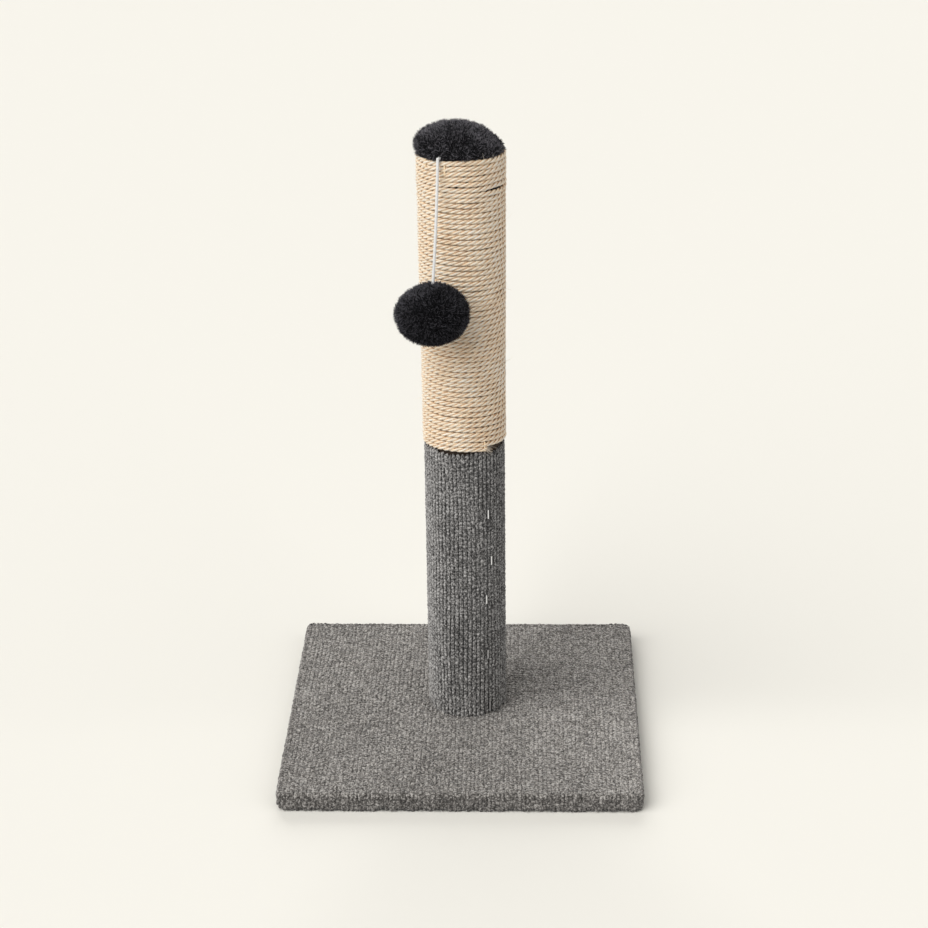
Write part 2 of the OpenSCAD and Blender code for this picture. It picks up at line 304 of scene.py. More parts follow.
def closeTree(graph, geometry, finish):
    whole = graph.node("GeometryNodeRealizeInstances", {"Geometry": geometry})
    smooth = graph.node("GeometryNodeSetShadeSmooth", {0: whole})
    dressed = graph.node("GeometryNodeSetMaterial", {"Geometry": smooth, "Material": finish})
    graph.node("NodeGroupOutput", {"Geometry": dressed})
    return graph


def growPiece(name, data, graph, inputs):  # the tree's result on data, with the inputs that it knows by name
    source = bpy.data.objects.new(name + ".source", data)
    modifier = source.modifiers.new("grow", "NODES")
    modifier.node_group = graph.tree
    for item in graph.tree.interface.items_tree:
        if item.in_out == "INPUT" and item.name in inputs:
            modifier[item.identifier] = inputs[item.name]
    bpy.context.scene.collection.objects.link(source)
    bpy.context.view_layer.update()
    evaluated = bpy.context.evaluated_depsgraph_get()
    mesh = bpy.data.meshes.new_from_object(source.evaluated_get(evaluated), depsgraph=evaluated)
    source.modifiers.clear()
    bpy.data.objects.remove(source)
    mesh.name = name
    mesh.calc_loop_triangles()
    print(f"{name}: {len(mesh.loop_triangles)} triangles")
    return addObject(name, mesh)


def place(piece, body, slot, *replaced):
    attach(piece, body)
    if replaced:
        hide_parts(*replaced)
    return piece


def smoothStep(value, low, high):
    share = min(1.0, max(0.0, (value - low) / (high - low)))
    return share * share * (3 - 2 * share)


def grown(setting, height):  # an amount that grows between two heights
    most, low, high = setting
    return most * smoothStep(height, low, high)


def turnBetween(angle, other):  # in degrees, from -180 to 180
    return (angle - other + 180) % 360 - 180


# Materials
def emptyTree(owner):
    owner.use_nodes = True
    owner.node_tree.nodes.clear()
    return Graph(owner.node_tree)


def newFinish(name):  # the material, its tree, and each point's place on the object
    material = bpy.data.materials.new(name)
    graph = emptyTree(material)
    return material, graph, graph.node("ShaderNodeTexCoord", output="Object")


def closeFinish(graph, inputs):
    graph.node("ShaderNodeOutputMaterial", {"Surface": graph.node("ShaderNodeBsdfPrincipled", inputs)})


def carpetFinish(settings):  # heather yarn: each loop has its own shade, its fibres vary inside it
    material, graph, spot = newFinish(settings["yarn"])
    fibres = graph.noise(spot, 640.0, 2.0, 0.7)
    patches = graph.noise(spot, settings["patchScale"], 2.0)
    heather = 3.4  # how strongly the fibres vary
    shade = graph.attribute("shade") * 0.24 + fibres * heather + patches * 0.35
    # Painted light and shade: the sleeve's pile is painted paler on its lit side, the base's front and back
    # darker
    shade = shade + graph.attribute("nap") - heather / 2 + 0.2
    closeFinish(graph, {"Base Color": graph.ramp(shade, settings["stops"]), "Roughness": 0.95,
                        "Normal": graph.bump(fibres, 0.8, 0.5 * mm), "Sheen Weight": settings["sheen"],
                        "Sheen Roughness": 0.4, "Specular IOR Level": 0.1})
    return material


def feltFinish(name, grain, colours, roughness, relief, stretch=(1.0, 1.0, 1.0)):  # fibres in two tones
    material, graph, spot = newFinish(name)
    fibres = graph.noise(graph.vector("MULTIPLY", spot, stretch), *grain)
    closeFinish(graph, {"Base Color": graph.mix(fibres, *colours), "Roughness": roughness,
                        "Normal": graph.bump(fibres, *relief)})
    return material


def shades(colour, darker):  # a darker shade of a colour, and the colour
    return tuple(part * darker for part in colour), colour


def backingFinish(name, colour):
    return feltFinish(name, (900.0, 3.0, 0.6), shades(colour, 0.55), 1.0, (0.7, 0.3 * mm))


def waddingFinish(name, colour):
    return feltFinish(name, (240.0, 4.0, 0.65), shades(colour, 0.75), 0.95, (0.8, 1.0 * mm))


# Loop pile: rows of yarn loops, one tree for the base and the sleeve
def loopTree():
    graph, given = geometryTree("loopPile", {
        "loopPitch": 4.5 * mm, "loopLength": 5.0 * mm, "loopWidth": 3.2 * mm, "pile": 1.5 * mm, "seed": 1})
    seed = given["seed"]
    rows = graph.node("GeometryNodeMeshToCurve", {"Mesh": given["Geometry"]})
    stops = {"Curve": rows, "Length": given["loopPitch"]}
    points = graph.node("GeometryNodeCurveToPoints", stops, mode="LENGTH")
    pressed = graph.stored("pressed")
    uneven = 1 - pressed * 0.8

    # The yarn's arch, one loop long, one loop wide and one loop high
    arch = graph.node("GeometryNodeCurvePrimitiveLine", {"Start": (-0.5, 0, 0), "End": (0.5, 0, 0)})
    arch = graph.node("GeometryNodeResampleCurve", {"Curve": arch, "Count": 5})
    along = graph.node("GeometryNodeSplineParameter") * 2 - 1
    rise = 1 - along ** 2
    lifted = graph.combined(along * 0.5, 0.0, rise * 0.72 - 0.22)
    arch = graph.node("GeometryNodeSetPosition", {"Geometry": arch, "Position": lifted})
    loop = graph.sweep(arch, graph.ring(6, 0.5), 0.45 + rise * 0.55)

    turned = graph.facing(graph.stored("outward", "FLOAT_VECTOR"), points.other("Tangent"))
    wobble = graph.combined(*[graph.spread(-most, most, seed + number) * uneven
                              for number, most in ((1, 0.22), (2, 0.16), (3, 0.35))])
    size = graph.combined(given["loopLength"] * graph.spread(0.9, 1.1, seed + 4),
                          given["loopWidth"] * graph.spread(0.86, 1.06, seed + 5) * (1 - pressed * 0.5),
                          given["pile"] * graph.spread(0.8, 1.06, seed + 6) * (1 - pressed * 0.6))
    loops = graph.strew(points, loop, graph.turned(turned, wobble), size)
    loops = graph.store(loops, "shade", graph.spread(0.0, 1.0, seed + 7), domain="INSTANCE")
    return closeTree(graph, loops, given["Finish"])


loopPile = loopTree()


def growLoops(parts, settings, slot):  # each part is a list of rows, each row a list of places for the loops
    finish = carpetFinish(settings)
    for number, (name, rows) in enumerate(parts.items()):
        inputs = {**settings, "seed": settings["seed"] + 20 * number, "Finish": finish}
        mesh = lineMesh(name, rows, "outward", "pressed", "nap")
        place(growPiece(name, mesh, loopPile, inputs), "stand", slot)


# Base: a carpet sheet wrapped over the board and turned under it
baseCarpet = {
    "yarn": "baseCarpetYarn",
    "ribPitch": 3.51 * mm,
    "loopPitch": 4.0 * mm,
    "loopLength": 5.2 * mm,
    "loopWidth": 4.9 * mm,
    "pile": 1.45 * mm,  # how far the loops stand off their backing
    "topCorner": 5.5 * mm,  # corner radius seen from above, at the top edge
    "footCorner": 8.0 * mm,  # and at the foot, where the corner is tucked in
    "backingCorner": 6.4 * mm,  # the backing's corner at the foot, outside the board's
    "edge": 1.8 * mm,  # rounding over the top and bottom edges
    "hem": 27 * mm,
    "sideShade": 0.12,  # painted shade: how much darker the pile is painted on the front and the back
    "sway": (0.35 * mm, 31 * mm, 47 * mm, 12 * mm),  # of the rows: reach, how fast it turns each way, margin
    "rowStep": 2.0 * mm,  # from one place on a row to the next
    "backing": 0.4 * mm,
    "seed": 11,
    "patchScale": 9.0,
    "stops": [(0.0, (0.058, 0.054, 0.049)), (0.35, (0.150, 0.139, 0.128)), (0.62, (0.261, 0.244, 0.225)),
              (0.95, (0.485, 0.46, 0.427))],
    "sheen": 0.2,
    "backingColour": (0.11, 0.106, 0.10),
}
baseLow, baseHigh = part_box("base_carpet")


class BaseShape:  # the surface that the loops stand on, or one that lies deeper
    def __init__(self, settings, deeper=0.0):
        depth = settings["pile"] + deeper
        self.settings = settings
        self.half = baseHigh.x - depth
        self.low = baseLow.z + depth
        self.high = baseHigh.z - depth
        self.edge = settings["edge"] - deeper
        self.rise = self.high - self.low - 2 * self.edge

    def corner(self, z):
        foot, top = self.settings["footCorner"], self.settings["topCorner"]
        return foot + (top - foot) * smoothStep(z, self.low, self.high)

    def reach(self, across, z):  # how far the sheet goes at a place across it, and the way it faces
        radius = self.corner(z)
        past = abs(across) - (self.half - radius)
        if past <= 0:
            return self.half, 0.0
        past = min(past, radius * 0.98)
        return self.half - radius + math.sqrt(radius * radius - past * past), math.asin(past / radius)

    def rounding(self, turn):  # how far the rounded edge lies in from each of its two faces
        return self.edge * (1 - math.sin(turn)), self.edge * (1 - math.cos(turn))


def wrapRow(shape, across, phase):  # from the front hem over the top to the back hem
    settings = shape.settings
    under = max(shape.half - settings["hem"], abs(across) - 0.5 * mm)
    foot = shape.reach(across, shape.low)[0]
    steps = max(1, int((foot - shape.edge - under) / mm))
    side = [(under + (foot - shape.edge - under) * i / steps, shape.low, 0.0, -1.0) for i in range(steps)]
    turns = [math.pi / 8 * i for i in range(5)]
    for turn in turns:
        inset, height = shape.rounding(turn)
        side.append((foot - inset, shape.low + height, math.sin(turn), -math.cos(turn)))
    for i in range(1, 9):
        z = shape.low + shape.edge + shape.rise * i / 8
        side.append((shape.reach(across, z)[0], z, 1.0, 0.0))
    top, lean = shape.reach(across, shape.high)
    for turn in turns[1:]:
        drop, inset = shape.rounding(turn)
        side.append((top - inset, shape.high - drop, math.cos(turn), math.sin(turn)))
    aside, ahead = math.copysign(math.sin(lean), across), math.cos(lean)
    # The front and back faces get painted shade, stored with the rows as painted light and shade
    front = [(Vector((across, -y, z)), Vector((out * aside, -out * ahead, up)),
              1 - smoothStep(z, shape.low, shape.low + 1.5 * shape.edge), -settings["sideShade"] * out)
             for y, z, out, up in side]
    flat = top - shape.edge
    count = int(2 * flat / settings["rowStep"])
    reach, lengthwise, crosswise, margin = settings["sway"]
    middle = []
    for i in range(1, count):
        y = -flat + 2 * flat * i / count
        drift = reach * math.sin(y / lengthwise + across / crosswise) * smoothStep(flat - abs(y), 0, margin)
        middle.append((Vector((across + drift, y, shape.high)), Vector((0, 0, 1)), 0.0, 0.0))
    back = [(Vector((across, -point.y, point.z)), Vector((out.x, -out.y, out.z)), pressed, nap)
            for point, out, pressed, nap in reversed(front)]
    return (front + middle + back)[phase:]


def sideRow(shape, side, offset):  # along one side: down the side first, then in under the board
    path = math.pi / 2 * shape.edge
    below = offset - path - shape.rise
    if offset < path:
        turn = offset / shape.edge
        inset, drop = shape.rounding(turn)
        x, z, out, up = shape.half - inset, shape.high - drop, math.sin(turn), math.cos(turn)
    elif below < 0:
        x, z, out, up = shape.half, shape.high - shape.edge - (offset - path), 1.0, 0.0
    elif below < path:
        turn = below / shape.edge
        height, inset = shape.rounding(turn)
        x, z, out, up = shape.half - inset, shape.low + height, math.cos(turn), -math.sin(turn)
    else:
        x, z, out, up = shape.half - shape.edge - (below - path), shape.low, 0.0, -1.0
    under = z <= shape.low + 0.01 * mm
    end = min(x, shape.reach(x, z)[0] - shape.edge) if under else shape.half - shape.corner(z) * 0.75
    count = int(2 * end / shape.settings["rowStep"])
    row = []
    for i in range(count + 1):
        y = -end + 2 * end * i / count
        reach, lean = shape.reach(y, z)
        pull = 0 if under else shape.half - reach
        outward = Vector((side * out * math.cos(lean), out * math.copysign(math.sin(lean), y), up))
        row.append((Vector((side * (x - pull), y, z)), outward, 1.0 if under else 0.0, 0.0))
    return row


def roundedSquare(half, radius, z):
    ring, flat = [], half - radius
    for quarter, (x, y) in enumerate(((1, 1), (-1, 1), (-1, -1), (1, -1))):
        for turn in [math.radians(90 * quarter + 15 * i) for i in range(7)]:
            ring.append((x * flat + radius * math.cos(turn), y * flat + radius * math.sin(turn), z))
    return ring


def sheetRings(shape):  # rounded squares from the hem's end, round the edges and in over the top
    turns = [math.pi / 12 * i for i in range(7)]
    path = [(shape.half - shape.settings["hem"], shape.low)]
    path += [(shape.half - inset, shape.low + height) for inset, height in map(shape.rounding, turns)]
    path += [(shape.half, shape.low + shape.edge + shape.rise * i / 5) for i in range(1, 5)]
    path += [(shape.half - inset, shape.high - drop) for drop, inset in map(shape.rounding, turns)]
    path += [(shape.half * share, shape.high) for share in (0.8, 0.5, 0.2)]
    return [roundedSquare(half, min(shape.corner(z), half * 0.5) if half > shape.half * 0.9 else 2 * mm, z)
            for half, z in path]


def backingMesh(settings):  # the closed sheet under the loops
    tucked = dict(settings, footCorner=settings["backingCorner"])
    outside, inside = sheetRings(BaseShape(tucked)), sheetRings(BaseShape(tucked, settings["backing"]))
    count, size = len(outside), len(outside[0])
    bands = [band for i in range(count - 1) for band in ((i, i + 1), (count + i + 1, count + i))]
    faces = []
    for first, second in bands + [(count, 0)]:
        for j in range(size):
            k = (j + 1) % size
            faces.append((first * size + j, first * size + k, second * size + k, second * size + j))
    faces.append([(count - 1) * size + j for j in range(size)])
    faces.append([(2 * count - 1) * size + j for j in reversed(range(size))])
    return makeMesh("baseBacking", [point for ring in outside + inside for point in ring], faces)


def makeBaseCarpet(settings):
    shape = BaseShape(settings)
    backing = addObject("baseBacking", backingMesh(settings))
    backing.data.materials.append(backingFinish("baseCarpetBacking", settings["backingColour"]))
    place(backing, "stand", "base_carpet", "base_carpet")
    rng = random.Random(settings["seed"])
    count = round(2 * shape.half / settings["ribPitch"])
    gauge = 2 * shape.half / count
    rows = [wrapRow(shape, -shape.half + gauge * (i + 0.5), rng.randrange(4)) for i in range(count)]
    third = count // 3
    parts = {"baseLoopsLeft": rows[:third], "baseLoopsMiddle": rows[third:2 * third],
             "baseLoopsRight": rows[2 * third:]}
    path = math.pi * shape.edge + shape.rise + settings["hem"] - shape.edge
    parts["baseLoopsSides"] = [sideRow(shape, side, settings["ribPitch"] * (i + 0.45))[rng.randrange(3):]
                               for side in (-1, 1) for i in range(int(path / settings["ribPitch"]))]
    growLoops(parts, settings, "base_carpet")


makeBaseCarpet(baseCarpet)
print("base carpet made")

# Post: its axis and its own directions, with 0 degrees to the front and positive angles to the right
tubeLow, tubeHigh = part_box("post_tube")
tubeRadius = (tubeHigh.x - tubeLow.x) / 2
tubeTop = tubeHigh.z
postX = tubeLow.x + tubeRadius
postY = tubeLow.y + tubeRadius


def sideways(angle):
    return math.sin(math.radians(angle))


def onPost(radius, angle, z):
    return Vector((postX + radius * sideways(angle), postY - radius * math.cos(math.radians(angle)), z))


def awayFromPost(angle):
    return Vector((sideways(angle), -math.cos(math.radians(angle)), 0))


def nodeTree(name):  # for distances to a CAD node
    mesh = nodes[name].data
    return BVHTree.FromPolygons([v.co for v in mesh.vertices], [p.vertices for p in mesh.polygons])


# Sisal rope: three laid strands swept along one left-handed winding
rope = {
    "diameter": 4.3 * mm,
    "strandRadius": 1.16 * mm,
    "lay": 17 * mm,
    "sides": 8,
    "step": 2.0 * mm,
    "footAngle": 33.7,  # where the lower end is cut
    "headAngle": -100,  # where the upper end is cut
    "turns": 56,  # whole turns between the two ends
    "footRadius": tubeRadius + 2.1 * mm,
    # Amounts that grow between two heights, which are measured up from the tube's top
    "lowSwell": (0.75 * mm, -207 * mm, -57 * mm),  # how much wider the turns get
    "skirtSwell": (0.5 * mm, -35 * mm, -27 * mm),  # and over the plush skirt
    "fanStep": (0.9 * mm, -25.5 * mm, -22 * mm),  # how far the turns have slipped up on the right
    "fanTop": (-0.9 * mm, -22 * mm, 0),
    "leftSag": (3.1 * mm, -42 * mm, 0),
    "stapleSwell": (0.55 * mm, 1.2 * mm, 4 * mm),  # round a staple's back, fading between two distances
    "waver": 0.42 * mm,  # how far a turn wanders up and down
    "bulge": 0.22 * mm,  # and out and in
    "seed": 3,
    # Places where two turns have parted: drop below the tube's top, direction, half width in degrees, lift
    "partings": [(27.9 * mm, 54, 20, 1.2 * mm), (20.4 * mm, -6, 8, 0.45 * mm), (32.5 * mm, 51, 10, 0.5 * mm)],
    "partingReach": 6 * mm,
    # Of the lowest turn: direction, half width, lift, height that it fades over
    "footLift": (-30, 24, 0.4 * mm, 12 * mm),
    # How far the foot hangs low: everywhere, more on the left, more on the right, height where it ends
    "footSag": (1.2 * mm, 1.9 * mm, 2.7 * mm, 60 * mm),
    "stops": [(0.0, (0.38, 0.18, 0.07)), (0.22, (0.86, 0.54, 0.29)), (0.45, (0.99, 0.76, 0.50)),
              (0.75, (1.0, 0.89, 0.70)), (1.0, (1.0, 0.97, 0.90))],
}
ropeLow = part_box("sisal_lower_turns")[0].z
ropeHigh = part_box("sisal_rope")[1].z
ropeFoot = ropeLow + rope["diameter"] / 2
ropePitch = (ropeHigh - rope["diameter"] / 2 - ropeFoot) / (rope["turns"] + rope["footAngle"] / 360)
ropeTurns = rope["turns"] + (rope["footAngle"] - rope["headAngle"]) / 360
ropeStaples = nodeTree("rope_staples")


def footSag(angle):
    level, left, right = rope["footSag"][:3]
    side = sideways(angle)
    return level + (left if side < 0 else right) * side * side


def ropeTilt(angle, drop):  # how far a turn is off level; drops are measured down from the tube's top
    side = sideways(angle)
    right = grown(rope["fanStep"], -drop) + grown(rope["fanTop"], -drop)
    return right * max(0, side) - grown(rope["leftSag"], -drop) * max(0, -side)


def ropeRadius(drop):
    return rope["footRadius"] + grown(rope["lowSwell"], -drop) + grown(rope["skirtSwell"], -drop)


def ropeLift(angle, drop):
    lift = ropeTilt(angle, drop)
    for depth, direction, width, amount in rope["partings"]:
        away = (depth - drop) / rope["partingReach"]
        off = turnBetween(angle, direction) / width
        lift += amount * math.tanh((depth - drop) / mm) * math.exp(-away * away) * math.exp(-off ** 2)
    direction, width, amount, fade = rope["footLift"]
    above = tubeTop - drop - ropeLow
    lift += amount * math.exp(-((angle - direction) / width) ** 2) * (1 - smoothStep(above, 0, fade))
    return lift - footSag(angle) * (1 - smoothStep(above, 0, rope["footSag"][3]))


def ropePoint(turn):
    level = ropeFoot + ropePitch * turn
    angle = rope["footAngle"] - 360 * turn
    x, y = sideways(angle), math.cos(math.radians(angle))
    wave = noise.noise(Vector((x * 1.3, y * 1.3, turn * 2.1)))
    swell = noise.noise(Vector((x * 2.2 + 9, y * 2.2, turn * 1.7)))
    drop = tubeTop - level
    z = level + ropeLift(turnBetween(angle, 0), drop) + rope["waver"] * wave
    radius = ropeRadius(drop) + rope["bulge"] * swell
    near = ropeStaples.find_nearest(onPost(radius + rope["strandRadius"], angle, z))[3]
    most, close, far = rope["stapleSwell"]
    return onPost(radius + most * (1 - smoothStep(near, close, far)), angle, z)


# Sleeve: a ribbed carpet round the lower half of the post, with one seam
sleeveCarpet = {
    "yarn": "sleeveCarpetYarn",
    "ribs": 57,
    "loopPitch": 3.5 * mm,
    "loopLength": 4.1 * mm,
    "loopWidth": 3.65 * mm,
    "pile": 1.9 * mm,
    "backing": 1.1 * mm,
    "backingTurns": 96,
    "napSide": -85,  # painted light: the direction of the lit side, where the pile is painted paler
    "nap": 0.2,
    "seamAngle": 35,
    "seamGap": 0.4 * mm,
    "seamDip": 0.35 * mm,
    "endGap": 0.4 * mm,
    "topGaps": [(-15, 28, 2.6 * mm), (46, 15, 2.3 * mm)],  # direction, half width, gap under the rope
    "sways": [(0.5 * mm, 38 * mm, 11), (0.25 * mm, 15 * mm, 29)],  # of a rib: reach, length, change
    "swayFade": 8 * mm,  # this near to the seam the ribs sway less
    "dipWidth": 5 * mm,
    "staplePress": (0.8 * mm, 2.6 * mm),  # from full to none, by the distance to a staple
    "napFade": (20, 75),  # the painted light, from full to none, in degrees from the lit side
    "rowStep": 1.5 * mm,  # from one place on a rib to the next
    "seed": 5,
    "patchScale": 16.0,
    "stops": [(0.0, (0.043, 0.041, 0.039)), (0.35, (0.122, 0.117, 0.112)), (0.62, (0.238, 0.229, 0.219)),
              (0.95, (0.49, 0.475, 0.455))],
    "sheen": 0.3,
    "backingColour": (0.08, 0.078, 0.076),
}


def makeSleeve(settings):
    low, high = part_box("carpet_sleeve")
    radius = (high.x - low.x) / 2
    root = radius - settings["pile"]
    inner = root - settings["backing"]
    seamHalf = math.degrees(settings["seamGap"] / 2 / radius)
    start, sweep = settings["seamAngle"] + seamHalf, 360 - 2 * seamHalf
    staples = nodeTree("seam_staples")
    rng = random.Random(settings["seed"])

    def topAt(angle):
        gap = sum(depth * math.exp(-(turnBetween(angle, middle) / width) ** 4)
                  for middle, width, depth in settings["topGaps"])
        return high.z - gap - footSag(angle)

    def ribStop(share, z):  # one place on a rib
        edge = min(share, 1 - share) * sweep * math.radians(1) * radius
        sway = sum(reach * math.sin(z / length + share * change)
                   for reach, length, change in settings["sways"])
        sway *= smoothStep(edge, 0, settings["swayFade"])
        angle = start + sweep * share + math.degrees(sway / radius)
        dip = settings["seamDip"] * (1 - smoothStep(edge, 0, settings["dipWidth"]))
        near = staples.find_nearest(onPost(radius, angle, z))[3]
        off = abs(turnBetween(angle, settings["napSide"]))
        pressed = 1 - smoothStep(near, *settings["staplePress"])
        # Painted light: the pile is painted paler towards the lit side
        nap = settings["nap"] * (1 - smoothStep(off, *settings["napFade"]))
        return onPost(root - dip, angle, z), awayFromPost(angle), pressed, nap

    rows = []
    for i in range(settings["ribs"]):
        share = (i + 0.5) / settings["ribs"]
        first = low.z + settings["endGap"] + rng.uniform(0, 1) * settings["loopPitch"]
        count = int((topAt(start + sweep * share) - settings["endGap"] - first) / settings["rowStep"])
        rows.append([ribStop(share, first + j * settings["rowStep"]) for j in range(count + 1)])
    half = len(rows) // 2
    growLoops({"sleeveLoopsBack": rows[:half], "sleeveLoopsFront": rows[half:]}, settings, "sleeve_carpet")

    # Backing: a split tube
    points, faces = [], []
    turns = settings["backingTurns"]
    for i in range(turns + 1):
        angle = start + sweep * i / turns
        points += [onPost(r, angle, z) for r, z in
                   ((inner, low.z), (root, low.z), (root, topAt(angle)), (inner, topAt(angle)))]
    for i in range(0, 4 * turns, 4):
        faces += [(i + j + 4, i + (j + 1) % 4 + 4, i + (j + 1) % 4, i + j) for j in range(4)]
    faces += [(0, 1, 2, 3), tuple(turns * 4 + j for j in (3, 2, 1, 0))]
    backing = addObject("sleeveBacking", makeMesh("sleeveBacking", points, faces))
    backing.data.materials.append(backingFinish("sleeveCarpetBacking", settings["backingColour"]))
    place(backing, "stand", "sleeve_carpet", "carpet_sleeve")


makeSleeve(sleeveCarpet)
print("post carpet made")


def outFromPost(graph, given, spot):  # the level direction away from the post's middle line
    middle = graph.combined(given["middleX"], given["middleY"])
    away = graph.vector("MULTIPLY", graph.vector("SUBTRACT", spot, middle), (1, 1, 0))
    return graph.vector("NORMALIZE", away)


def ropeTree():
    graph, given = geometryTree("laidRope", {
        "strandRadius": 1.0 * mm, "lay": 17 * mm, "sides": 8, "middleX": 0.0, "middleY": 0.0})
    radius = given["strandRadius"]
    core = graph.node("GeometryNodeMeshToCurve", {"Mesh": given["Geometry"]})
    core = graph.node("GeometryNodeSetCurveNormal", {"Curve": core}, mode="Z_UP")
    along = graph.node("GeometryNodeSplineParameter", output="Length") + graph.stored("start")
    strands = graph.node("GeometryNodeDuplicateElements", {"Geometry": core, "Amount": 3}, domain="SPLINE")
    strand = strands.other("Duplicate Index")
    turn = along / given["lay"] * (-2 * math.pi) + strand * (2 * math.pi / 3)
    normal = graph.node("GeometryNodeInputNormal")
    binormal = graph.vector("CROSS_PRODUCT", graph.node("GeometryNodeInputTangent"), normal)
    offset = graph.vector("ADD", graph.scaled(normal, graph.math("COSINE", turn) * radius),
                          graph.scaled(binormal, graph.math("SINE", turn) * radius))
    laid = graph.store(strands, "along", along)
    laid = graph.store(laid, "strand", strand)
    laid = graph.store(laid, "side", graph.vector("NORMALIZE", offset), "FLOAT_VECTOR")
    laid = graph.node("GeometryNodeSetPosition", {"Geometry": laid, "Offset": offset})
    spot = graph.node("GeometryNodeInputPosition")
    profile = graph.store(graph.ring(given["sides"], 1.0), "around", spot, "FLOAT_VECTOR")
    swept = graph.sweep(laid, profile, radius * (graph.noise(spot, 120.0, 1.0) * 0.36 + 0.82))
    facing = graph.node("GeometryNodeInputNormal")
    # Both measures only serve the rope's painted shade, in the valleys between strands and between turns
    ways = {"crest": graph.stored("side", "FLOAT_VECTOR"),  # high on a strand's back
            "front": outFromPost(graph, given, spot)}  # high on a turn's outside
    for name, way in ways.items():
        swept = graph.store(swept, name, graph.vector("DOT_PRODUCT", way, facing, output="Value"))
    return closeTree(graph, swept, given["Finish"])


def fibreTree():  # stray fibres that stand off the rope
    graph, given = geometryTree("strayFibres", {
        "density": 14000.0, "length": 4 * mm, "thickness": 0.13 * mm, "middleX": 0.0, "middleY": 0.0,
        "seed": 1})
    seed = given["seed"]
    out = outFromPost(graph, given, graph.node("GeometryNodeInputPosition"))
    facing = graph.vector("DOT_PRODUCT", out, graph.node("GeometryNodeInputNormal"), output="Value")
    places = {"Mesh": given["Geometry"], "Selection": graph.math("GREATER_THAN", facing, 0.55),
              "Density": given["density"], "Seed": seed}
    points = graph.node("GeometryNodeDistributePointsOnFaces", places, distribute_method="RANDOM")
    path = graph.arc(4, (0, 0, -0.03), (0.35, 0, 0.02), (0.7, 0.12, 0.1), (0.95, 0.1, 0.42))
    taper = 1 - graph.node("GeometryNodeSplineParameter") * 0.7
    hair = graph.sweep(path, graph.ring(3, given["thickness"] / given["length"] * 0.5), taper)
    spin = graph.combined(z=graph.spread(0.0, 2 * math.pi, seed + 1))
    turned = graph.turned(points.other("Rotation"), spin)
    size = graph.spread(0.4, 1.25, seed + 2) * given["length"]
    hairs = graph.strew(points, hair, turned, graph.combined(size, size, size))
    return closeTree(graph, hairs, given["Finish"])


def sisalFinish():
    material, graph, spot = newFinish("sisal")
    around = graph.attribute("around", "Vector")
    lengthwise = graph.combined(graph.attribute("along") * 130.0, 0.0, graph.attribute("strand") * 7.0)
    grain = graph.noise(graph.vector("ADD", lengthwise, graph.scaled(around, 3.2)), 1.0, 4.0, 0.65)
    finer = graph.vector("ADD", graph.scaled(lengthwise, 2.4), graph.scaled(around, 9.0))
    fine = graph.noise(finer, 1.0, 3.0, 0.6)
    patches = graph.noise(spot, 38.0, 2.0)
    crest = graph.softStep(graph.attribute("crest"), -0.1, 0.8)
    front = graph.softStep(graph.attribute("front"), 0.1, 0.8)
    # Painted shade: the tone falls in the valleys between strands (crest) and between the turns (front)
    tone = grain * 2.1 + fine * 2.3 + patches * 0.45 + crest * 0.3 + front * 0.4 - 2.4
    closeFinish(graph, {"Base Color": graph.ramp(tone, rope["stops"]), "Roughness": 0.46,
                        "Normal": graph.bump(grain * 0.5 + fine * 0.6, 1.0, 0.6 * mm),
                        "Specular IOR Level": 0.6})
    return material


def strayFinish():  # single sisal fibres, paler than the rope
    material, graph, spot = newFinish("sisalFibre")
    tone = graph.mix(graph.noise(spot, 400.0, 2.0), (0.85, 0.68, 0.48), (1.0, 0.95, 0.86))
    closeFinish(graph, {"Base Color": tone, "Roughness": 0.5, "Specular IOR Level": 0.4})
    return material


def ropeCore(name, first, last):  # the middle line of a stretch of the winding
    around = 2 * math.pi * rope["footRadius"]
    count = round((last - first) * round(around / rope["step"]))
    line = [(ropePoint(first + (last - first) * i / count), first * around) for i in range(count + 1)]
    return lineMesh(name, [line], "start")


def makeRope(settings):
    sisal, strands, hairs = sisalFinish(), ropeTree(), fibreTree()
    upperFirst = (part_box("sisal_rope")[0].z - ropeLow) / ropePitch
    inputs = {**settings, "middleX": postX, "middleY": postY}
    stretches = {"ropeLowerTurns": (0, upperFirst, "sisal_lower_turns"),
                 "ropeUpperTurns": (upperFirst, ropeTurns, "sisal_rope")}
    for number, (name, (first, last, node)) in enumerate(stretches.items()):
        piece = growPiece(name, ropeCore(name, first, last), strands, {**inputs, "Finish": sisal})
        fibres = {**inputs, "seed": settings["seed"] + number, "Finish": sisalFibre}
        place(growPiece(name + "Fibres", piece.data.copy(), hairs, fibres), "stand", "sisal")
        place(piece, "stand", "sisal", node)


sisalFibre = strayFinish()
makeRope(rope)


# Thin lines: a ring swept along each line, with its girth stored on the line
def sweptTree():
    graph, given = geometryTree("sweptLine", {"sides": 14})
    line = graph.node("GeometryNodeMeshToCurve", {"Mesh": given["Geometry"]})
    swept = graph.sweep(line, graph.ring(given["sides"], 1.0), graph.stored("girth"))
    return closeTree(graph, swept, given["Finish"])


sweptLine = sweptTree()


def sweepLines(name, lines, sides, finish):  # each line is a list of (point, girth)
    return growPiece(name, lineMesh(name, lines, "girth"), sweptLine, {"sides": sides, "Finish": finish})


